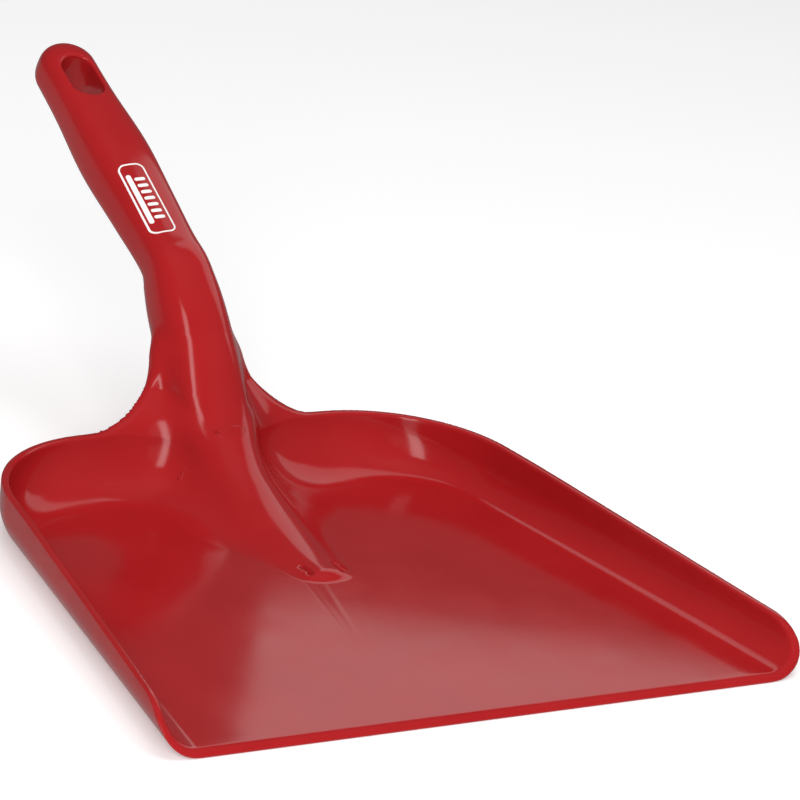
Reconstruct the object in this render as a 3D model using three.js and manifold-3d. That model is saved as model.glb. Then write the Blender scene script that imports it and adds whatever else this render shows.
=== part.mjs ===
// A one-piece moulded dustpan: a shallow tapered pan with an open front, a hollow ridge that climbs
// from the pan floor to the back wall, and a grip that leaves the wall over a steep neck.
//
// Millimetres, +Z up. X runs across the pan, Y from the front lip back to the end of the grip.
// The shapes are drawn from the lip, and the finished group is moved forward, so that the origin is
// on the flat underside of the floor, on the centre line and a little way behind the lip.
// The pan and the handle are one moulding. They are two solids here, parted across the neck by a
// hairline, so that each one stays a simple shape.

import * as THREE from 'three';
import { mergeVertices } from 'three/addons/utils/BufferGeometryUtils.js';
import Module from 'manifold-3d';

// ---- Pan sizes ----------------------------------------------------------------------------------
const originBehindLip = 60;
const lipWidth = 300; // across the side walls at the front lip
const panDepth = 242; // front lip to the outside of the back wall
const sideTaper = 9.4; // degrees that each side wall turns in towards the back
const cornerRadius = 63; // back corners, seen from above
const wallThickness = 3.4;
const floorThickness = 3.4;
const wallDraft = 2; // degrees that the walls lean outwards
const footRadius = 16.6; // outside, between floor and walls
const sideFillet = 13; // inside, between floor and side walls
const backFillet = 26; // inside, between floor and back wall
const rimHeightFront = 18.8;
const rimHeightBack = 25.8;
const frontLean = 23; // degrees that the whole front face leans back
const frontCorner = 16; // size of the round corner on top of the side walls' front edges

// ---- Shoulders: the back wall sweeps up both sides of the neck ---------------------------------------
const shoulderHalfWidth = 21; // at the top, beside the neck
const shoulderRun = 30; // how far out of the neck the sweep starts
const shoulderTop = 56; // height where the sweep ends
const shoulderLean = 25; // degrees that the wall leans back above the rim

// ---- Ridge: the hollow root of the handle, inside the pan ----------------------------------------------
const ridgeLength = 115; // from the outside of the back wall forward to the nose of the ridge
const ridgeNoseHeight = 3; // above the floor, at the nose
const ridgeBackHeight = 58; // above the floor, where it reaches the back wall
const ridgeSweep = 3; // power of the crest's curve, so that it leaves the floor slowly
const ridgeNoseHalfWidth = 6;
const ridgeBackHalfWidth = 16.5;
const ridgeNoseDraft = 50; // degrees that its sides lean in at the nose
const ridgeBackDraft = 8; // and at the back wall
const ridgeWall = 3.4;

// ---- Neck and grip ---------------------------------------------------------------------------------------
const neckBehindWall = 13.3; // where the centre line turns steeply up, from the outside of the back wall
const neckHeight = 56.1; // and its height there
const neckLength = 33.5;
const neckSlope = 48.7; // degrees
const neckBendRadius = 30;
const gripLength = 133; // from the bend above the neck to the end
const gripSlope = 23.5; // degrees
const gripBendRadius = 20;
const rootLength = 26; // how far the centre line runs on into the ridge
const rootSlope = 44; // degrees
// Half width and half thickness, at distances from the bend above the neck.
const handleSections = [
  { at: -70, halfWidth: 15.5, halfThickness: 7.4 },
  { at: -33, halfWidth: 17.2, halfThickness: 15 },
  { at: -12, halfWidth: 16.2, halfThickness: 15 },
  { at: 2, halfWidth: 14, halfThickness: 12.2 },
  { at: 34, halfWidth: 14.6, halfThickness: 12.4 },
  { at: 66, halfWidth: 15.2, halfThickness: 12.8 },
  { at: 100, halfWidth: 13.2, halfThickness: 11 },
  { at: 133, halfWidth: 13, halfThickness: 10 },
];
const sectionSquareness = 2.5; // exponent of the rounded section, 2 is an ellipse

const hangHoleLength = 25;
const hangHoleWidth = 14.5;
const hangHoleFromEnd = 25; // its centre, from the end of the grip

// ---- Printed badge on top of the grip -------------------------------------------------------------------
const badgeLength = 42;
const badgeWidth = 13;
const badgeThickness = 0.4;
const badgeFromBend = 31; // its centre, from the bend above the neck
const badgeGap = 0.3; // clearance all round, in its shallow pocket

const partingGap = 0.3; // hairline between the pan and the handle
const partingAlongNeck = 6; // from the start of the neck

// ---- Solids -------------------------------------------------------------------------------------------------
const wasm = await Module();
wasm.setup();

const radians = THREE.MathUtils.degToRad;
const lerp = THREE.MathUtils.lerp;
const tanDeg = (angle) => Math.tan(radians(angle));

function solidFromGeometry(geometry) {
  const bare = geometry.index ? geometry.toNonIndexed() : geometry.clone();
  bare.deleteAttribute('normal');
  bare.deleteAttribute('uv');
  const merged = mergeVertices(bare, 1e-4);
  const vertProperties = new Float32Array(merged.attributes.position.array);
  const triVerts = new Uint32Array(merged.index.array);
  return new wasm.Manifold(new wasm.Mesh({ numProp: 3, vertProperties, triVerts }));
}

function geometryFromSolid(solid) {
  const mesh = solid.getMesh();
  const geometry = new THREE.BufferGeometry();
  geometry.setAttribute('position', new THREE.BufferAttribute(new Float32Array(mesh.vertProperties), 3));
  geometry.setIndex(new THREE.BufferAttribute(new Uint32Array(mesh.triVerts), 1));
  return geometry;
}

// A closed solid through convex rings of the same number of points, with flat ends.
function loftSolid(rings) {
  const count = rings[0].length;
  const positions = rings.flat().flatMap((p) => [p.x, p.y, p.z]);
  const triangles = [];
  for (let r = 0; r + 1 < rings.length; r += 1) {
    for (let i = 0; i < count; i += 1) {
      const a = r * count + i;
      const b = r * count + ((i + 1) % count);
      triangles.push(a, b, b + count, a, b + count, a + count);
    }
  }
  const last = (rings.length - 1) * count;
  for (let i = 1; i + 1 < count; i += 1) {
    triangles.push(0, i + 1, i, last, last + i, last + i + 1);
  }
  const geometry = new THREE.BufferGeometry();
  geometry.setAttribute('position', new THREE.Float32BufferAttribute(positions, 3));
  geometry.setIndex(signedVolume(positions, triangles) < 0 ? triangles.reverse() : triangles);
  return solidFromGeometry(geometry);
}

function signedVolume(positions, triangles) {
  const corner = (i) => new THREE.Vector3().fromArray(positions, 3 * i);
  let volume = 0;
  for (let t = 0; t < triangles.length; t += 3) {
    const [a, b, c] = [0, 1, 2].map((k) => corner(triangles[t + k]));
    volume += a.dot(b.cross(c)) / 6;
  }
  return volume;
}

// A flat shape in the plane of two axes, extruded along the third from a starting point.
function extrudedSolid(shape, depth, axes, start) {
  const geometry = new THREE.ExtrudeGeometry(shape, { depth, bevelEnabled: false, curveSegments: 12 });
  geometry.applyMatrix4(new THREE.Matrix4().makeBasis(...axes).setPosition(start));
  return solidFromGeometry(geometry);
}

const xAxis = new THREE.Vector3(1, 0, 0);
const yAxis = new THREE.Vector3(0, 1, 0);
const zAxis = new THREE.Vector3(0, 0, 1);

// ---- Pan shell ------------------------------------------------------------------------------------------------
const beyond = 40; // how far cutting shapes run past what they cut

// The outside of the walls seen from above: points with their outward direction. It runs down one
// side, round both back corners and back up the other side, and past the lip at both ends.
function panOutline() {
  const taper = radians(sideTaper);
  const centreY = panDepth - cornerRadius;
  const reach = (lipWidth / 2) * Math.cos(taper) - cornerRadius - centreY * Math.sin(taper);
  const centreX = reach / Math.cos(taper);
  const frontX = lipWidth / 2 + beyond * Math.tan(taper);
  const cornerSteps = 14;
  const half = [{ x: frontX, y: -beyond, angle: taper }];
  for (let i = 0; i <= cornerSteps; i += 1) {
    const angle = lerp(taper, Math.PI / 2, i / cornerSteps);
    const x = centreX + cornerRadius * Math.cos(angle);
    const y = centreY + cornerRadius * Math.sin(angle);
    half.push({ x, y, angle });
  }
  const mirrored = half.map((p) => ({ x: -p.x, y: p.y, angle: Math.PI - p.angle })).reverse();
  return [...half, ...mirrored];
}

// One ring of the pan at a height, moved in by the wall thickness and by a fillet at the foot.
function panRing(height, inset, filletStart, filletAt) {
  return panOutline().map((p) => {
    const outward = new THREE.Vector3(Math.cos(p.angle), Math.sin(p.angle), 0);
    const backness = Math.max(0, outward.y) ** 4;
    const fillet = filletAt(backness);
    const above = THREE.MathUtils.clamp(height - filletStart, 0, fillet);
    const footInset = fillet - Math.sqrt(fillet ** 2 - (fillet - above) ** 2);
    const lean = (height - rimHeightBack) * tanDeg(wallDraft);
    const shoulder = Math.max(0, height - rimHeightBack) * tanDeg(shoulderLean) * backness;
    const offset = lean + shoulder - inset - footInset;
    return new THREE.Vector3(p.x, p.y, height).addScaledVector(outward, offset);
  });
}

// Heights of the rings: close together through the fillet, then up the wall.
function ringHeights(base, fillet, top) {
  const steps = 7;
  const heights = [];
  for (let i = 0; i <= steps; i += 1) {
    heights.push(base + fillet * (1 - Math.cos((Math.PI / 2) * (i / steps))));
  }
  const walls = [rimHeightBack, shoulderTop, top].filter((height) => height > base + fillet + 1);
  return [...heights, ...walls];
}

const outerTop = shoulderTop + 14;
const panBlock = loftSolid(
  ringHeights(0, footRadius, outerTop).map((height) => panRing(height, 0, 0, () => footRadius)),
);
const insideFilletAt = (backness) => lerp(sideFillet, backFillet, backness);
const panInside = loftSolid(
  ringHeights(floorThickness, backFillet, outerTop + 1).map((height) =>
    panRing(height, wallThickness, floorThickness, insideFilletAt),
  ),
);

// What stays below the rim and behind the lip, as one side view.
function rimSideView() {
  const cornersStart = panDepth - cornerRadius;
  const rimAt = (y) => lerp(rimHeightFront, rimHeightBack, y / cornersStart);
  const leanAt = (z) => z * tanDeg(frontLean);
  const curveStart = Math.max(floorThickness, rimHeightFront - frontCorner);
  const cornerY = leanAt(rimHeightFront);
  const curveEnd = cornerY + frontCorner;
  const shape = new THREE.Shape();
  shape.moveTo(leanAt(-1), -1);
  shape.lineTo(leanAt(curveStart), curveStart);
  shape.quadraticCurveTo(cornerY, rimAt(cornerY), curveEnd, rimAt(curveEnd));
  shape.lineTo(cornersStart, rimHeightBack);
  shape.lineTo(panDepth + beyond, rimHeightBack);
  shape.lineTo(panDepth + beyond, -1);
  return shape;
}

// What stays of the back wall above the rim, as one front view.
function shoulderFrontView() {
  const outer = shoulderHalfWidth + shoulderRun;
  const rise = shoulderTop - rimHeightBack;
  const shape = new THREE.Shape();
  shape.moveTo(-outer, 0);
  shape.lineTo(-outer, rimHeightBack);
  shape.absellipse(-outer, shoulderTop, shoulderRun, rise, -Math.PI / 2, 0, false, 0);
  shape.lineTo(shoulderHalfWidth, shoulderTop);
  shape.absellipse(outer, shoulderTop, shoulderRun, rise, Math.PI, 1.5 * Math.PI, false, 0);
  shape.lineTo(outer, 0);
  return shape;
}

const acrossPan = lipWidth + 2 * beyond;
const belowRim = extrudedSolid(
  rimSideView(),
  acrossPan,
  [yAxis, zAxis, xAxis],
  new THREE.Vector3(-acrossPan / 2, 0, 0),
);
const shoulders = extrudedSolid(
  shoulderFrontView(),
  panDepth / 2 + beyond,
  [xAxis, zAxis, yAxis.clone().negate()],
  new THREE.Vector3(0, panDepth + beyond, 0),
);
const panShell = panBlock.subtract(panInside).intersect(belowRim.add(shoulders));

// ---- Ridge ---------------------------------------------------------------------------------------------------------
const ridgeFoot = panDepth - ridgeLength;

// An arch across the pan: a round crown on two straight sides that run down past the floor. The
// crest sweeps up from the nose, while the crown gets wider and the sides steeper.
function ridgeArch(y, inset) {
  const along = (y - ridgeFoot) / ridgeLength;
  const height = lerp(ridgeNoseHeight, ridgeBackHeight, along ** ridgeSweep);
  const halfWidth = lerp(ridgeNoseHalfWidth, ridgeBackHalfWidth, along) - inset;
  const crown = 0.8 * halfWidth;
  const springing = floorThickness + height - inset - crown;
  const base = -beyond;
  const spread = (springing - base) * tanDeg(lerp(ridgeNoseDraft, ridgeBackDraft, Math.min(1, along)));
  const crownSteps = 14;
  const arch = [new THREE.Vector3(halfWidth + spread, y, base)];
  for (let i = 0; i <= crownSteps; i += 1) {
    const angle = (Math.PI * i) / crownSteps;
    arch.push(new THREE.Vector3(halfWidth * Math.cos(angle), y, springing + crown * Math.sin(angle)));
  }
  arch.push(new THREE.Vector3(-halfWidth - spread, y, base));
  return arch;
}

function ridgeLoft(start, end, inset) {
  const steps = 12;
  const arches = [];
  for (let i = 0; i <= steps; i += 1) {
    arches.push(ridgeArch(lerp(start, end, i / steps), inset));
  }
  return loftSolid(arches);
}

const hollowEnd = panDepth - wallThickness - footRadius;
const ridge = ridgeLoft(ridgeFoot, panDepth + ridgeWall, 0).intersect(panBlock);
const ridgeHollow = ridgeLoft(ridgeFoot + 2 * ridgeWall, hollowEnd, ridgeWall);

// ---- Handle centre line -----------------------------------------------------------------------------------------------
// Three straight runs in the plane x = 0, joined by two round bends. Distances count from the bend
// above the neck, and are negative below it.
const direction = (slope) => new THREE.Vector2(Math.cos(radians(slope)), Math.sin(radians(slope)));
const neckPoint = new THREE.Vector2(panDepth + neckBehindWall, neckHeight);
const bendPoint = neckPoint.clone().addScaledVector(direction(neckSlope), neckLength);
const rootPoint = neckPoint.clone().addScaledVector(direction(rootSlope), -rootLength);
const endPoint = bendPoint.clone().addScaledVector(direction(gripSlope), gripLength);

// Stations through one bend, from the tangent point before it to the one after it.
function bendStations(corner, slopeIn, slopeOut, radius, at) {
  const turn = radians(slopeOut - slopeIn);
  const reach = radius * Math.tan(Math.abs(turn) / 2);
  const side = Math.sign(turn);
  const start = corner.clone().addScaledVector(direction(slopeIn), -reach);
  const normal = direction(slopeIn + 90).multiplyScalar(side);
  const centre = start.clone().addScaledVector(normal, radius);
  const steps = 5;
  const stations = [];
  for (let i = 0; i <= steps; i += 1) {
    const slope = lerp(slopeIn, slopeOut, i / steps);
    const outward = direction(slope - 90).multiplyScalar(side);
    const point = centre.clone().addScaledVector(outward, radius);
    stations.push({ point, slope, at: at + lerp(-reach, reach, i / steps) });
  }
  return stations;
}

function gripStation(at) {
  return { point: bendPoint.clone().addScaledVector(direction(gripSlope), at), slope: gripSlope, at };
}

const endRound = handleSections.at(-1).halfWidth;

function handleStations() {
  const root = { point: rootPoint, slope: rootSlope, at: -neckLength - rootLength };
  const lower = bendStations(neckPoint, rootSlope, neckSlope, neckBendRadius, -neckLength);
  const upper = bendStations(bendPoint, neckSlope, gripSlope, gripBendRadius, 0);
  const gripSteps = 9;
  const afterBend = upper.at(-1).at;
  const grip = [];
  for (let i = 1; i <= gripSteps; i += 1) {
    grip.push(gripStation(lerp(afterBend, gripLength - endRound, i / gripSteps)));
  }
  const endAngles = [20, 38, 54, 68, 79, 86];
  const end = endAngles.map((angle) => gripStation(gripLength - endRound * (1 - Math.sin(radians(angle)))));
  return [root, ...lower, ...upper, ...grip, ...end];
}

// Smooth half width and half thickness at a distance, through the listed sections.
function sectionAt(at) {
  const rows = handleSections;
  const k = THREE.MathUtils.clamp(rows.findIndex((row) => row.at > at) - 1, 0, rows.length - 2);
  const along = THREE.MathUtils.smoothstep(at, rows[k].at, rows[k + 1].at);
  return {
    halfWidth: lerp(rows[k].halfWidth, rows[k + 1].halfWidth, along),
    halfThickness: lerp(rows[k].halfThickness, rows[k + 1].halfThickness, along),
  };
}

function handleRing(station) {
  const { halfWidth, halfThickness } = sectionAt(station.at);
  const intoEnd = Math.max(0, (station.at - (gripLength - endRound)) / endRound);
  const endWidth = Math.sqrt(Math.max(0, 1 - intoEnd ** 2));
  const endThickness = Math.max(0, 1 - intoEnd ** 4) ** 0.3;
  const up = direction(station.slope + 90);
  const sides = 36;
  const power = 2 / sectionSquareness;
  const ring = [];
  for (let i = 0; i < sides; i += 1) {
    const angle = (2 * Math.PI * i) / sides;
    const cos = Math.cos(angle);
    const sin = Math.sin(angle);
    const x = halfWidth * endWidth * Math.sign(cos) * Math.abs(cos) ** power;
    const rise = halfThickness * endThickness * Math.sign(sin) * Math.abs(sin) ** power;
    ring.push(new THREE.Vector3(x, station.point.x + rise * up.x, station.point.y + rise * up.y));
  }
  return ring;
}

const handleBar = loftSolid(handleStations().map((station) => handleRing(station)));

// ---- Shapes cut square through the grip -----------------------------------------------------------------------------------
// A slot outline with round ends, long in the direction of the grip.
function slotShape(length, width) {
  const radius = width / 2;
  const straight = length / 2 - radius;
  const shape = new THREE.Shape();
  shape.moveTo(radius, -straight);
  shape.lineTo(radius, straight);
  shape.absarc(0, straight, radius, 0, Math.PI, false);
  shape.lineTo(-radius, -straight);
  shape.absarc(0, -straight, radius, Math.PI, 2 * Math.PI, false);
  return shape;
}

// The slot as a solid that stands square on the grip, between two heights above its centre line.
function slotThroughGrip(length, width, at, low, high) {
  const along = direction(gripSlope);
  const up = direction(gripSlope + 90);
  const start = bendPoint.clone().addScaledVector(along, at).addScaledVector(up, low);
  const axes = [xAxis, new THREE.Vector3(0, along.x, along.y), new THREE.Vector3(0, up.x, up.y)];
  return extrudedSolid(slotShape(length, width), high - low, axes, new THREE.Vector3(0, start.x, start.y));
}

const hangHole = slotThroughGrip(
  hangHoleLength,
  hangHoleWidth,
  gripLength - hangHoleFromEnd,
  -beyond,
  beyond,
);

// The badge lies flat in a pocket that is cut just deep enough into the round top of the grip.
const badgeCrown = sectionAt(badgeFromBend).halfThickness;
const badgeFloor = badgeCrown - badgeThickness - 2 * badgeGap;
const badge = slotThroughGrip(
  badgeLength,
  badgeWidth,
  badgeFromBend,
  badgeFloor + badgeGap,
  badgeFloor + badgeGap + badgeThickness,
);
const badgePocket = slotThroughGrip(
  badgeLength + 2 * badgeGap,
  badgeWidth + 2 * badgeGap,
  badgeFromBend,
  badgeFloor,
  badgeCrown + beyond,
);

// ---- Parting across the neck -------------------------------------------------------------------------------------------------
// A big block whose lower face crosses the neck square, at a distance from the neck's start.
function blockAboveNeck(at) {
  const along = direction(neckSlope);
  const up = direction(neckSlope + 90);
  const size = 3 * gripLength;
  const centre = neckPoint.clone().addScaledVector(along, at + size / 2);
  const box = new THREE.BoxGeometry(size, size, size);
  const across = new THREE.Vector3(0, up.x, up.y);
  const lengthwise = new THREE.Vector3(0, along.x, along.y);
  const matrix = new THREE.Matrix4().makeBasis(xAxis, lengthwise, across);
  box.applyMatrix4(matrix.setPosition(0, centre.x, centre.y));
  return solidFromGeometry(box);
}

const panWithRoot = panShell.add(ridge).add(handleBar).subtract(ridgeHollow);
const panSolid = panWithRoot.subtract(blockAboveNeck(partingAlongNeck));
const handleSolid = handleBar
  .intersect(blockAboveNeck(partingAlongNeck + partingGap))
  .subtract(hangHole)
  .subtract(badgePocket);

// ---- Scene graph ---------------------------------------------------------------------------------------------------------------
const moulded = { color: 0xa52428, roughness: 0.28, metalness: 0 };
const mouldedRed = new THREE.MeshStandardMaterial(moulded);
const printedWhite = new THREE.MeshStandardMaterial({ color: 0xf4f4f2, roughness: 0.4, metalness: 0 });

function namedMesh(name, solid, material) {
  const mesh = new THREE.Mesh(geometryFromSolid(solid), material);
  mesh.name = name;
  return mesh;
}

const dustpan = new THREE.Group();
dustpan.add(namedMesh('pan', panSolid, mouldedRed));
dustpan.add(namedMesh('handle', handleSolid, mouldedRed));
dustpan.add(namedMesh('printed_badge', badge, printedWhite));
dustpan.position.y = -originBehindLip;

export default dustpan;
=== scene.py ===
import math

import bpy
import numpy as np
from mathutils import Matrix, Vector


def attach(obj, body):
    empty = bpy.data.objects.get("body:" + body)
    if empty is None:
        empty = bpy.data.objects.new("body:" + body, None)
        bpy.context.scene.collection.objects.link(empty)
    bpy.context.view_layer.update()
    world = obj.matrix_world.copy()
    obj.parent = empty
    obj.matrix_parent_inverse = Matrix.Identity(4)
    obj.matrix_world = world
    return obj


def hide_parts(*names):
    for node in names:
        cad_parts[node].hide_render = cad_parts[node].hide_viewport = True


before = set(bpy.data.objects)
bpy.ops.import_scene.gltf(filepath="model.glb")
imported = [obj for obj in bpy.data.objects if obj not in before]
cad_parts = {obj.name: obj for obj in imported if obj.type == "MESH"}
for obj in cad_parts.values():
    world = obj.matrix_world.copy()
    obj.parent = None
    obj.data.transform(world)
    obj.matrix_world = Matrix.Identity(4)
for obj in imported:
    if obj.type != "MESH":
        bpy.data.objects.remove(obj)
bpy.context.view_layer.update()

# ---- Dustpan moulding ---------------------------------------------------------------------------
# The whole dustpan is one injection moulding in glossy red polypropylene: pan, ridge, neck and grip.
# It is modelled from joined copies of the pan and the handle, remeshed fine and drawn onto one smooth
# shape, where every edge is rounded and the ridge and the neck run into the walls without a seam.

MM = 0.001
# Y of the front lip. Lengths below are measured back from the lip, and heights up from the floor.
lip_behind_origin = -60 * MM
lip_width, pan_depth, side_taper = 300 * MM, 242 * MM, math.radians(9.4)
back_corner = 63 * MM
wall, floor_thickness = 3.4 * MM, 3.4 * MM
foot_radius, side_fillet, back_fillet = 16.6 * MM, 13 * MM, 26 * MM
rim_front, rim_back, rim_turn = 18.8 * MM, 25.8 * MM, 30 * MM
wall_draft = math.radians(2)
corner_sharing = 4
front_lean, front_corner, front_corner_power = math.radians(23), 16 * MM, 2.4
rim_edge, foot_edge, mouth_edge = 1.2 * MM, 0.8 * MM, 1.8 * MM
mouth_start, mouth_end = 10 * MM, 45 * MM

shoulder_half_width, shoulder_run, shoulder_top = 19.2 * MM, 33 * MM, 56 * MM
shoulder_power, shoulder_round = 1.75, 5 * MM
shoulder_lean = math.radians(25)

ridge_foot, ridge_hollow_end = 127 * MM, 222 * MM
ridge_low, ridge_high, ridge_sweep, crest_run_on = 3 * MM, 58 * MM, 3, 1.4
nose_radius, nose_edge = 19 * MM, 2 * MM
nose_draft, back_draft = math.radians(50), math.radians(8)
# Radius of the ridge's crown at shares of the way from its foot to the back wall.
crown_places = np.array([0.0, 0.25, 0.5, 0.75, 1.0])
crown_sizes = np.array([26, 15, 12.5, 14, 16.5]) * MM
# Width of the soft crease beside the ridge: at its nose, along its side, and high up the back wall.
nose_crease, side_crease, high_crease = 1.5 * MM, 24 * MM, 5 * MM
crease_full_at, crease_low, crease_high = 0.6, 28 * MM, 50 * MM
# The ridge's section becomes the neck's over this stretch, and the web joins the neck to the wall.
neck_takes_over, neck_has_taken_over = pan_depth - 48 * MM, pan_depth - 3 * MM
thin_web, full_web, web_start, web_end = 0.5 * MM, 11 * MM, 205 * MM, 238 * MM

neck_start, neck_length = np.array([255.3, 56.1]) * MM, 33.5 * MM
root_slope, neck_slope, grip_slope = math.radians(44), math.radians(48.7), math.radians(23.5)
grip_length, root_length = 133 * MM, 26 * MM
lower_bend, upper_bend = 30 * MM, 20 * MM
# Distance from the upper bend, half width and half thickness of the neck and grip.
handle_sections = np.array([
    (-70, 15.5, 7.4), (-33, 16.6, 14.8), (-12, 15.2, 14.0), (2, 13.3, 11.6), (34, 13.9, 11.6),
    (66, 15.0, 12.6), (100, 13.2, 11.0), (133, 13.0, 10.0),
]) * MM
# The section is rounder at the neck and squarer at the grip, with a change between these places.
neck_power, grip_power, neck_round_until, grip_square_from = 2.2, 2.9, -40 * MM, 20 * MM
# The neck is a little deeper below its centre line, fading in and out between these places.
neck_depth = 1.4 * MM
depth_start, depth_full, depth_fades, depth_gone = -60 * MM, -34 * MM, -6 * MM, 8 * MM
slot_length, slot_width, slot_from_end, slot_edge = 25 * MM, 14.5 * MM, 25 * MM, 1.4 * MM
tiny = 1e-9


def convex(a, b, radius, power=2.0):
    """The part common to two shapes, with a round edge where their surfaces cross."""
    over_a, over_b = np.maximum(a + radius, 0), np.maximum(b + radius, 0)
    rounded = (over_a ** power + over_b ** power) ** (1 / power)
    return np.minimum(np.maximum(a, b), -radius) + rounded


def blended(a, b, width):
    """Two shapes made one, with a soft crease where they meet."""
    near = np.maximum(width - np.abs(a - b), 0) / width
    return np.minimum(a, b) - near ** 2 * width / 4


def ease(value, start, end):
    """Smooth step from 0 at start to 1 at end."""
    t = np.clip((value - start) / (end - start), 0, 1)
    return t * t * (3 - 2 * t)


def mix(a, b, share):
    return a + (b - a) * share


def through(value, places, sizes):
    """Smooth curve through listed sizes."""
    k = np.clip(np.searchsorted(places, value) - 1, 0, len(places) - 2)
    slopes = np.gradient(sizes, places)
    gap = places[k + 1] - places[k]
    t = np.clip((value - places[k]) / gap, 0, 1)
    return (
        sizes[k] * (1 + 2 * t) * (1 - t) ** 2 + slopes[k] * gap * t * (1 - t) ** 2
        + sizes[k + 1] * t * t * (3 - 2 * t) - slopes[k + 1] * gap * t * t * (1 - t)
    )


# The section sizes at every half millimetre, averaged over a few millimetres to take out any flats.
fine_at = np.linspace(-90, 150, 481) * MM
averaged_steps, averaged_over = 24, 5
spread = np.exp(-0.5 * (np.linspace(-12, 12, 2 * averaged_steps + 1) / averaged_over) ** 2)


def averaged(column):
    sizes = through(fine_at, handle_sections[:, 0], handle_sections[:, column])
    return np.convolve(np.pad(sizes, averaged_steps, "edge"), spread / spread.sum(), "valid")


half_widths, half_thicknesses = averaged(1), averaged(2)


def heading(slope):
    """Direction in the plane of Y and Z."""
    return np.array([math.cos(slope), math.sin(slope)])


upper_point = neck_start + neck_length * heading(neck_slope)


def along_handle(y, z):
    """Distance along the handle's centre line from the upper bend, and height above the line."""
    flat = np.stack([y, z], axis=-1)

    def straight(corner, slope, corner_at):
        reach = flat - corner
        return corner_at + reach @ heading(slope), reach @ heading(slope + math.pi / 2)

    at, up = straight(neck_start, root_slope, -neck_length)
    bends = (
        (neck_start, root_slope, neck_slope, lower_bend, -neck_length),
        (upper_point, neck_slope, grip_slope, upper_bend, 0.0),
    )
    for corner, slope_in, slope_out, radius, corner_at in bends:
        turn = slope_out - slope_in
        side = math.copysign(1, turn)
        reach = radius * math.tan(abs(turn) / 2)
        start = corner - reach * heading(slope_in)
        centre = start + side * radius * heading(slope_in + math.pi / 2)
        out = flat - centre
        swing = np.arctan2(out[:, 1], out[:, 0]) - (slope_in - side * math.pi / 2)
        swing = (swing + math.pi) % (2 * math.pi) - math.pi
        share = np.clip(swing / turn, 0, 1)
        bend_at = corner_at + mix(-reach, reach, share)
        bend_up = side * (radius - np.hypot(out[:, 0], out[:, 1]))
        next_at, next_up = straight(corner, slope_out, corner_at)
        past_start = (flat - start) @ heading(slope_in) > 0
        past_end = (flat - (corner + reach * heading(slope_out))) @ heading(slope_out) > 0
        at = np.where(past_end, next_at, np.where(past_start, bend_at, at))
        up = np.where(past_end, next_up, np.where(past_start, bend_up, up))
    return at, up


def handle_field(x, y, z):
    """Neck and grip, the same with its sides carried straight down, and the hanging slot."""
    at, up = along_handle(y, z)
    half_width = np.interp(at, fine_at, half_widths)
    half_thickness = np.interp(at, fine_at, half_thicknesses)
    end_centre = grip_length - handle_sections[-1, 1]
    across = np.hypot(x, np.maximum(at - end_centre, 0))
    below = neck_depth * ease(at, depth_start, depth_full) * (1 - ease(at, depth_fades, depth_gone))
    half_height = np.where(up < 0, half_thickness + below, half_thickness)
    power = mix(neck_power, grip_power, ease(at, neck_round_until, grip_square_from))
    reach = (across / half_width) ** power + np.abs(up / half_height) ** power
    bar = (np.maximum(reach, tiny) ** (1 / power) - 1) * half_thickness
    bar = np.maximum(bar, -neck_length - root_length - at)
    reach = (across / half_width) ** power + (np.maximum(up, 0) / half_height) ** power
    standing = (np.maximum(reach, tiny) ** (1 / power) - 1) * half_thickness
    from_middle = np.abs(at - grip_length + slot_from_end)
    beyond = np.maximum(from_middle - (slot_length - slot_width) / 2, 0)
    slot = np.hypot(x, beyond) - slot_width / 2
    return bar, standing, slot


corner_y = pan_depth - back_corner
corner_x = lip_width / 2 - (back_corner + corner_y * math.sin(side_taper)) / math.cos(side_taper)


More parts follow.
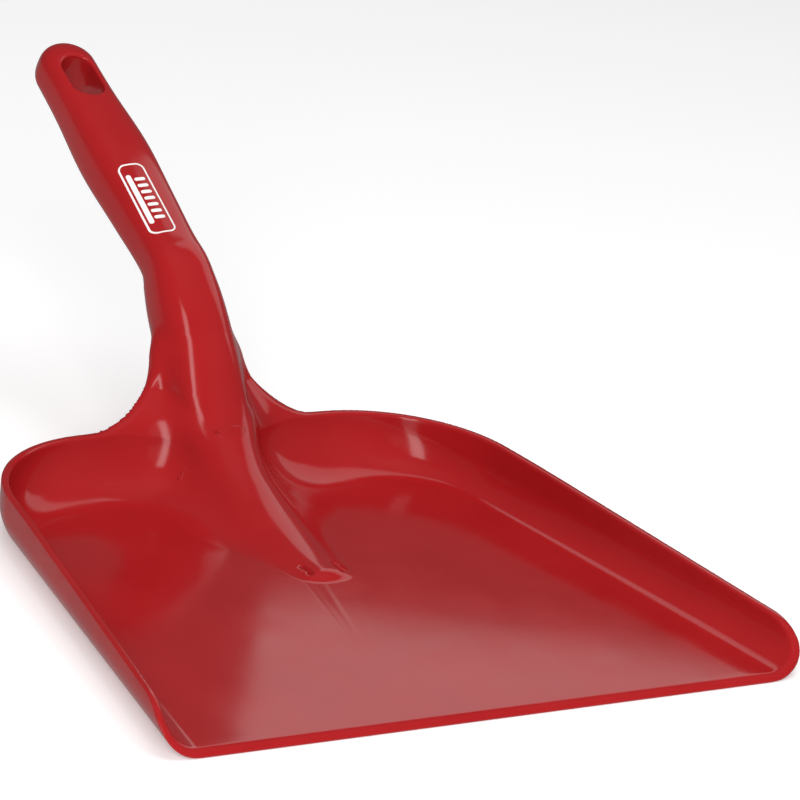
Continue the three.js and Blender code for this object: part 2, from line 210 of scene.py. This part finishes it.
def moulding_field(points, softness=1.0):
    """Below 0 inside the plastic and above 0 outside it. Softness scales the soft creases."""
    x, y, z = np.abs(points[:, 0]), points[:, 1] - lip_behind_origin, points[:, 2]

    # Walls, seen from above.
    from_x, from_y = x - corner_x, y - corner_y
    reach = np.hypot(from_x, from_y)
    side = from_x * math.cos(side_taper) + from_y * math.sin(side_taper)
    in_corner = (from_x > 0) & (from_y * math.cos(side_taper) > from_x * math.sin(side_taper))
    outline = np.where(in_corner, reach, np.maximum(side, from_y)) - back_corner
    on_back = np.where(from_y > side, 1.0, 0.0)
    backness = np.where(in_corner, (from_y / np.maximum(reach, tiny)) ** corner_sharing, on_back)
    above_rim = z - rim_back
    lean = above_rim * math.tan(wall_draft)
    lean = lean + np.maximum(above_rim, 0) * math.tan(shoulder_lean) * backness
    outside = outline - lean
    outer = convex(outside, -z, foot_radius)
    room = convex(outside + wall, floor_thickness - z, mix(side_fillet, back_fillet, backness))

    # Rim, shoulders beside the neck, and the leaning front.
    rise = (rim_back - rim_front) / corner_y
    rim = rim_back - rise * -blended(y - corner_y, np.zeros_like(y), rim_turn)
    centre_x = shoulder_half_width + shoulder_run
    shoulder_rise = shoulder_top - rim_back
    run_share = np.abs(x - centre_x) / shoulder_run
    rise_share = np.maximum(shoulder_top - z, 0) / shoulder_rise
    sweep_share = run_share ** shoulder_power + rise_share ** shoulder_power
    sweep = shoulder_rise * (1 - sweep_share ** (1 / shoulder_power))
    shoulder = np.maximum(convex(sweep, z - shoulder_top, shoulder_round), x - centre_x)
    top = np.minimum(z - rim, shoulder)
    front = (z * math.tan(front_lean) - y) * math.cos(front_lean)
    cut = convex(front, top, front_corner, front_corner_power)
    inner_edge = mix(mouth_edge, rim_edge, ease(y, mouth_start, mouth_end))
    shell = np.maximum(convex(outer, cut, foot_edge), convex(-room, cut, inner_edge))

    # Ridge: a round crown on leaning sides, with a blunt round nose, turning into the neck.
    along = np.clip((y - ridge_foot) / (pan_depth - ridge_foot), 0, crest_run_on)
    crest = floor_thickness + ridge_low + (ridge_high - ridge_low) * along ** ridge_sweep
    crown = through(along, crown_places, crown_sizes)
    draft = mix(nose_draft, back_draft, np.minimum(along, 1))
    over = z - (crest - crown)
    on_crown = over * np.cos(draft) > x * np.sin(draft)
    flank = x * np.cos(draft) + over * np.sin(draft)
    arch = np.where(on_crown, np.hypot(x, over), flank) - crown
    nose = np.hypot(x, np.minimum(y - ridge_foot - nose_radius, 0)) - nose_radius
    leaning_nose = (nose + (z - floor_thickness)) * math.sqrt(0.5)
    nose = np.where(y < ridge_foot + nose_radius, leaning_nose, -1.0)
    bar, standing, slot = handle_field(x, y, z)
    arch = mix(arch, standing, ease(y, neck_takes_over, neck_has_taken_over))
    ridge = np.maximum(convex(arch, nose, nose_edge), outer)
    spine = np.minimum(ridge, bar)

    # One body, with soft creases in the pan and a web between the back wall and the neck.
    low_crease = mix(nose_crease, side_crease, ease(along, 0.0, crease_full_at))
    crease = softness * mix(low_crease, high_crease, ease(z, crease_low, crease_high))
    inside = np.maximum(blended(shell, spine, crease), outer)
    web = mix(thin_web, full_web, softness * ease(y, web_start, web_end))
    body = np.minimum(inside, blended(shell, bar, web))
    hollow = np.maximum(np.maximum(arch + wall, y - ridge_hollow_end), ridge_foot + 2 * wall - y)
    body = convex(body, -hollow, foot_edge)
    return convex(body, -slot, slot_edge)


slope_step, longest_move, least_slope_squared = 0.02 * MM, 1.5 * MM, 0.05


def surface_slope(points, value, softness):
    step = slope_step
    sides = [moulding_field(points + step * axis, softness) - value for axis in np.eye(3)]
    return np.stack(sides, axis=1) / step


def draw_onto_shape(obj, steps):
    """Moves each vertex along the shape's slope towards its surface, once per softness in steps."""
    mesh = obj.data
    points = np.empty(3 * len(mesh.vertices))
    mesh.vertices.foreach_get("co", points)
    points = points.reshape(-1, 3)
    for softness in steps:
        value = moulding_field(points, softness)
        slope = surface_slope(points, value, softness)
        steepness = np.maximum((slope ** 2).sum(axis=1), least_slope_squared)
        move = -slope * (value / steepness)[:, None]
        length = np.linalg.norm(move, axis=1)
        move *= np.minimum(1, longest_move / np.maximum(length, tiny))[:, None]
        points = points + move
    mesh.vertices.foreach_set("co", points.ravel())
    mesh.update()


def apply_modifiers(obj):
    bpy.context.view_layer.objects.active = obj
    for modifier in list(obj.modifiers):
        bpy.ops.object.modifier_apply(modifier=modifier.name)


def select_only(*objs):
    bpy.ops.object.select_all(action="DESELECT")
    for obj in objs:
        obj.select_set(True)
    bpy.context.view_layer.objects.active = objs[0]


same_place, same_face = 0.01 * MM, 0.05 * MM


def merged_copy(node, name):
    """A copy of a CAD node whose shared vertices are merged."""
    select_only(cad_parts[node])
    bpy.ops.object.duplicate()
    copy = bpy.context.view_layer.objects.active
    copy.name = name
    select_only(copy)
    bpy.ops.object.mode_set(mode="EDIT")
    bpy.ops.mesh.select_all(action="SELECT")
    bpy.ops.mesh.remove_doubles(threshold=same_place)
    bpy.ops.object.mode_set(mode="OBJECT")
    return copy


moulding = merged_copy("pan", "dustpan_moulding")
upper = merged_copy("handle", "upper_handle")

# The handle's cut face is pushed a little way into the neck, so that the two copies overlap.
overlap = 3 * MM
select_only(upper)
neck_heading = Vector((0, *heading(neck_slope)))
cut_at = min(v.co.dot(neck_heading) for v in upper.data.vertices)
bpy.ops.object.mode_set(mode="EDIT")
bpy.ops.mesh.select_all(action="DESELECT")
bpy.ops.object.mode_set(mode="OBJECT")
for vertex in upper.data.vertices:
    vertex.select = vertex.co.dot(neck_heading) < cut_at + same_face
bpy.ops.object.mode_set(mode="EDIT")
bpy.ops.transform.translate(value=-overlap * neck_heading)
bpy.ops.object.mode_set(mode="OBJECT")
select_only(moulding, upper)
bpy.ops.object.join()
moulding.data.materials.clear()

# The creases grow step by step, so that no vertex is pulled through the thin wall.
growing = [0.05, 0.1, 0.2, 0.3, 0.4, 0.5, 0.6, 0.7, 0.8, 0.9, 1, 1]
remesh = moulding.modifiers.new("fine_mesh", "REMESH")
remesh.mode = "VOXEL"
remesh.voxel_size = 0.7 * MM
apply_modifiers(moulding)
draw_onto_shape(moulding, growing)
even = moulding.modifiers.new("even", "SMOOTH")
even.factor, even.iterations = 0.5, 4
apply_modifiers(moulding)
draw_onto_shape(moulding, [1, 1, 1])
most_triangles = 190000
triangles = sum(len(face.vertices) - 2 for face in moulding.data.polygons)
if triangles > most_triangles:
    thin = moulding.modifiers.new("thin", "DECIMATE")
    thin.ratio = most_triangles / triangles
    apply_modifiers(moulding)
    draw_onto_shape(moulding, [1, 1])
select_only(moulding)
bpy.ops.object.shade_smooth()

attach(moulding, "root")
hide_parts("pan", "handle")


def node(material, kind, label, **inputs):
    """A labelled shader node with numbers on its inputs."""
    added = material.node_tree.nodes.new(kind)
    added.label = label
    for name, value in inputs.items():
        added.inputs[name.replace("_", " ")].default_value = value
    return added


def red_polypropylene():
    material = bpy.data.materials.new("red_polypropylene")
    material.use_nodes = True
    tree = material.node_tree
    shader = tree.nodes["Principled BSDF"]
    shader.inputs["IOR"].default_value = 1.49
    place = tree.nodes.new("ShaderNodeTexCoord").outputs["Object"]

    def pattern(label, scale, detail, stretch=(1, 1, 1), roughness=0.5):
        mapping = node(material, "ShaderNodeMapping", label + "_place")
        mapping.inputs["Scale"].default_value = stretch
        tree.links.new(place, mapping.inputs["Vector"])
        noise = node(
            material, "ShaderNodeTexNoise", label, Scale=scale, Detail=detail, Roughness=roughness,
        )
        tree.links.new(mapping.outputs["Vector"], noise.inputs["Vector"])
        return noise.outputs["Fac"]

    def span(value, low, high, to_low, to_high):
        ranged = node(material, "ShaderNodeMapRange", "span")
        names = ("From Min", "From Max", "To Min", "To Max")
        for name, number in zip(names, (low, high, to_low, to_high)):
            ranged.inputs[name].default_value = number
        tree.links.new(value, ranged.inputs["Value"])
        return ranged.outputs["Result"]

    def sum_of(a, b, operation="ADD"):
        math_node = tree.nodes.new("ShaderNodeMath")
        math_node.operation = operation
        for socket, value in zip(math_node.inputs, (a, b)):
            if isinstance(value, (int, float)):
                socket.default_value = value
            else:
                tree.links.new(value, socket)
        return math_node.outputs[0]

    # Colour: slow flow marks in the pigment, a little paler where the surface is scuffed.
    flow = span(pattern("pigment_flow", 22, 3), 0.35, 0.65, 0, 1)
    scratches = span(pattern("sweeping_scratches", 50, 3, (30, 0.8, 5), 0.6), 0.66, 0.8, 0, 1)
    tint = tree.nodes.new("ShaderNodeMix")
    tint.data_type = "RGBA"
    tint.inputs["A"].default_value = (0.362, 0.0095, 0.0115, 1)
    tint.inputs["B"].default_value = (0.39, 0.0115, 0.0135, 1)
    tree.links.new(flow, tint.inputs["Factor"])
    scuffed = tree.nodes.new("ShaderNodeMix")
    scuffed.data_type = "RGBA"
    scuffed.inputs["B"].default_value = (0.44, 0.04, 0.04, 1)
    tree.links.new(sum_of(scratches, 0.1, "MULTIPLY"), scuffed.inputs["Factor"])
    tree.links.new(tint.outputs["Result"], scuffed.inputs["A"])
    tree.links.new(scuffed.outputs["Result"], shader.inputs["Base Color"])

    # Gloss: uneven at hand scale, duller in the scratches.
    gloss = span(pattern("gloss_patches", 45, 5), 0.3, 0.7, 0.11, 0.16)
    duller = sum_of(scratches, 0.1, "MULTIPLY")
    tree.links.new(sum_of(gloss, duller), shader.inputs["Roughness"])

    # Surface: the mould's fine grain, with hairline scratches.
    grain = pattern("mould_grain", 1500, 3)
    bump = node(material, "ShaderNodeBump", "grain_bump", Strength=0.05, Distance=0.02 * MM)
    tree.links.new(grain, bump.inputs["Height"])
    scored = node(material, "ShaderNodeBump", "scratch_bump", Strength=0.05, Distance=0.02 * MM)
    scored.invert = True
    tree.links.new(scratches, scored.inputs["Height"])
    tree.links.new(bump.outputs["Normal"], scored.inputs["Normal"])
    tree.links.new(scored.outputs["Normal"], shader.inputs["Normal"])
    return material


plastic = red_polypropylene()
moulding.data.materials.append(plastic)

# ---- Printed mark -------------------------------------------------------------------------------
# A small sweeping mark printed in white ink on top of the grip, without lettering.
# It is a film with a rounded frame and a brush drawn in bars, bent over the grip's crown.

mark_middle, mark_aside, mark_length, mark_width = 31 * MM, -4 * MM, 40 * MM, 12 * MM
frame_line, frame_corner, corner_steps = 0.7 * MM, 3.4 * MM, 10
brush_aside, brush_width, brush_length = -3.2 * MM, 2.2 * MM, 28 * MM
bristles, bristle_width, bristle_length, bristle_aside = 7, 1.7 * MM, 5 * MM, 1.3 * MM
bristle_spread = 11 * MM
# The ink stands this far above the plastic, and its bars reach this far into it.
ink_film, ink_root = 0.16 * MM, 0.3 * MM


def bend_over_grip(obj):
    """Lays a flat drawing, across in X and along in Y, over the crown of the grip."""
    lengthwise, upwards = heading(grip_slope), heading(grip_slope + math.pi / 2)
    for vertex in obj.data.vertices:
        across, at, lift = mark_aside + vertex.co.x, mark_middle + vertex.co.y, vertex.co.z
        half_width = np.interp(at, fine_at, half_widths)
        half_thickness = np.interp(at, fine_at, half_thicknesses)
        crown = half_thickness * (1 - abs(across / half_width) ** grip_power) ** (1 / grip_power)
        y, z = upper_point + at * lengthwise + (crown + lift) * upwards
        vertex.co = (across, y + lip_behind_origin, z)
    obj.data.update()


def flat_bar(centre_x, centre_y, width, length, name):
    """A bar with round ends, long in Y."""
    bpy.ops.object.select_all(action="DESELECT")
    bpy.ops.mesh.primitive_cylinder_add(
        vertices=24, radius=width / 2, depth=ink_film + ink_root, end_fill_type="TRIFAN",
    )
    bar = bpy.context.view_layer.objects.active
    bar.name = name
    for vertex in bar.data.vertices:
        if abs(vertex.co.y) > 1e-6:
            vertex.co.y += math.copysign((length - width) / 2, vertex.co.y)
        vertex.co += Vector((centre_x, centre_y, (ink_film - ink_root) / 2))
    return bar


def frame_ring(name):
    """A rounded frame round the mark, as one flat ring."""
    outer, inner = [], []
    for quarter, (sx, sy) in enumerate(((1, 1), (-1, 1), (-1, -1), (1, -1))):
        for i in range(corner_steps + 1):
            angle = math.pi / 2 * (quarter + i / corner_steps)
            for edge, radius in ((outer, frame_corner), (inner, frame_corner - frame_line)):
                edge.append((
                    sx * (mark_width / 2 - frame_corner) + radius * math.cos(angle),
                    sy * (mark_length / 2 - frame_corner) + radius * math.sin(angle),
                ))
    bpy.ops.object.select_all(action="DESELECT")
    bpy.ops.mesh.primitive_circle_add(vertices=len(outer), radius=1)
    ring = bpy.context.view_layer.objects.active
    ring.name = name
    for vertex, (x, y) in zip(ring.data.vertices, outer):
        vertex.co = (x, y, ink_film)
    bpy.ops.object.mode_set(mode="EDIT")
    bpy.ops.mesh.select_all(action="SELECT")
    bpy.ops.mesh.extrude_edges_move()
    bpy.ops.object.mode_set(mode="OBJECT")
    count = len(outer)
    for vertex, (x, y) in zip(list(ring.data.vertices)[count:], inner):
        vertex.co = (x, y, ink_film)
    film = ring.modifiers.new("film", "SOLIDIFY")
    film.thickness, film.offset = ink_film + ink_root, -1
    apply_modifiers(ring)
    return ring


parts = [frame_ring("printed_mark")]
parts.append(flat_bar(brush_aside, 0, brush_width, brush_length, "brush_back"))
for i in range(bristles):
    place = mix(-bristle_spread, bristle_spread, i / (bristles - 1))
    bristle = flat_bar(0, 0, bristle_width, bristle_length, "bristle")
    for vertex in bristle.data.vertices:
        vertex.co = (bristle_aside - vertex.co.y, place + vertex.co.x, vertex.co.z)
    parts.append(bristle)
select_only(*parts)
bpy.ops.object.join()
mark = parts[0]
bpy.ops.object.mode_set(mode="EDIT")
bpy.ops.mesh.select_all(action="SELECT")
bpy.ops.mesh.subdivide(number_cuts=1)
bpy.ops.mesh.normals_make_consistent(inside=False)
bpy.ops.object.mode_set(mode="OBJECT")
bend_over_grip(mark)
mark.data.materials.clear()
select_only(mark)
bpy.ops.object.shade_smooth_by_angle(angle=math.radians(40))


def white_ink():
    material = bpy.data.materials.new("white_ink")
    material.use_nodes = True
    tree = material.node_tree
    shader = tree.nodes["Principled BSDF"]
    shader.inputs["IOR"].default_value = 1.45
    place = tree.nodes.new("ShaderNodeTexCoord").outputs["Object"]
    speckle = node(material, "ShaderNodeTexNoise", "ink_speckle", Scale=2600, Detail=3)
    tree.links.new(place, speckle.inputs["Vector"])
    shade = tree.nodes.new("ShaderNodeMix")
    shade.data_type = "RGBA"
    shade.inputs["A"].default_value = (0.84, 0.83, 0.81, 1)
    shade.inputs["B"].default_value = (0.93, 0.93, 0.91, 1)
    tree.links.new(speckle.outputs["Fac"], shade.inputs["Factor"])
    tree.links.new(shade.outputs["Result"], shader.inputs["Base Color"])
    dullness = node(material, "ShaderNodeMapRange", "dullness")
    dullness.inputs["To Min"].default_value = 0.36
    dullness.inputs["To Max"].default_value = 0.5
    tree.links.new(speckle.outputs["Fac"], dullness.inputs["Value"])
    tree.links.new(dullness.outputs["Result"], shader.inputs["Roughness"])
    return material


mark.data.materials.append(white_ink())
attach(mark, "root")
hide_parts("printed_badge")

# ---- Floor, light and camera --------------------------------------------------------------------
# A plain pale studio floor under the pan, lit by large softboxes overhead, in front and to the right.
# A tall strip draws the streaks along the neck and the walls, and a low panel behind the pan shows
# in its floor. The softboxes themselves are left out of reflections.

floor_size, floor_drop = 14, 0.2 * MM
bpy.ops.object.select_all(action="DESELECT")
bpy.ops.mesh.primitive_plane_add(size=floor_size, location=(0, 0, -floor_drop))
studio_floor = bpy.context.view_layer.objects.active
studio_floor.name = "studio_floor"
pale = bpy.data.materials.new("pale_floor")
pale.use_nodes = True
pale_shader = pale.node_tree.nodes["Principled BSDF"]
pale_shader.inputs["Base Color"].default_value = (0.87, 0.87, 0.87, 1)
pale_shader.inputs["Roughness"].default_value = 0.9
pale_shader.inputs["Emission Color"].default_value = (1, 1, 1, 1)
pale_shader.inputs["Emission Strength"].default_value = 0.3
# In reflections the floor is swapped for a fixed grey glow, a painted reflection that sets how grey
# the floor looks in the pan's gloss; camera rays see the lit pale floor.
pale_tree = pale.node_tree
path = pale_tree.nodes.new("ShaderNodeLightPath")
painted_reflection_glow = pale_tree.nodes.new("ShaderNodeEmission")
painted_reflection_glow.inputs["Color"].default_value = (0.3, 0.3, 0.3, 1)
seen_as = pale_tree.nodes.new("ShaderNodeMixShader")
pale_tree.links.new(path.outputs["Is Glossy Ray"], seen_as.inputs["Fac"])
pale_tree.links.new(pale_shader.outputs["BSDF"], seen_as.inputs[1])
pale_tree.links.new(painted_reflection_glow.outputs["Emission"], seen_as.inputs[2])
pale_tree.links.new(seen_as.outputs["Shader"], pale_tree.nodes["Material Output"].inputs["Surface"])
studio_floor.data.materials.append(pale)

world = bpy.data.worlds.new("studio")
bpy.context.scene.world = world
world.use_nodes = True
world.node_tree.nodes["Background"].inputs["Color"].default_value = (1, 1, 1, 1)
world.node_tree.nodes["Background"].inputs["Strength"].default_value = 0.12


def softbox(name, place, aim, width, height, power):
    light = bpy.data.lights.new(name, "AREA")
    light.shape = "RECTANGLE"
    light.size, light.size_y, light.energy = width, height, power
    lamp = bpy.data.objects.new(name, light)
    bpy.context.scene.collection.objects.link(lamp)
    lamp.location = place
    lamp.rotation_euler = (Vector(aim) - Vector(place)).to_track_quat("-Z", "Y").to_euler()
    return lamp


middle = (0, 0.08, 0.04)
overhead = softbox("overhead_softbox", (0.1, 0.1, 1.9), middle, 1.4, 1.4, 17)
front = softbox("front_softbox", (-1.25, -1.75, 1.3), middle, 1.5, 1.2, 52)
right = softbox("right_softbox", (1.04, -0.92, 1.44), middle, 1.6, 1.6, 6)
for softbox_lamp in (overhead, front, right):
    softbox_lamp.visible_glossy = False
strip = softbox("strip_light", (-1.5, -1.62, 1.2), middle, 0.55, 2.8, 16)
strip.visible_diffuse = False

# A low panel behind the pan, seen only as a reflection in its floor.
away = Vector((0.565, 0.825, 0))
sideways = Vector((0.825, -0.565, 0))
panel_width, panel_height, panel_distance = 0.34, 0.26, 0.35
panel_left, panel_foot = -0.072, 0.152
panel_power = 0.24
panel_up = Vector((0, 0, panel_foot + panel_height / 2))
panel_aim = (panel_left + panel_width / 2) * sideways + panel_up
panel_place = panel_distance * away + (panel_left + panel_width / 2) * sideways + panel_up
panel = softbox("back_panel", panel_place, panel_aim, panel_width, panel_height, panel_power)
panel.visible_camera = False
panel.visible_diffuse = False

scene = bpy.context.scene
scene.view_settings.view_transform = "Standard"
camera_azimuth, camera_elevation = math.radians(-34), math.radians(21.3)
camera_roll = math.radians(8.1)
camera_distance, camera_target = 2.39, Vector((0.0094, 0.0513, 0.0884))
camera_data = bpy.data.cameras.new("camera")
camera_data.lens, camera_data.sensor_width = 270, 36
camera_data.clip_end = 50
camera = bpy.data.objects.new("camera", camera_data)
scene.collection.objects.link(camera)
level = math.cos(camera_elevation)
backward = Vector((
    math.sin(camera_azimuth) * level, -math.cos(camera_azimuth) * level, math.sin(camera_elevation),
))
rightward = Vector((math.cos(camera_azimuth), math.sin(camera_azimuth), 0))
upward = backward.cross(rightward)
camera_x = math.cos(camera_roll) * rightward + math.sin(camera_roll) * upward
camera_y = backward.cross(camera_x)
camera.matrix_world = Matrix.Translation(camera_target + camera_distance * backward) @ Matrix(
    (camera_x, camera_y, backward)
).transposed().to_4x4()
scene.camera = camera
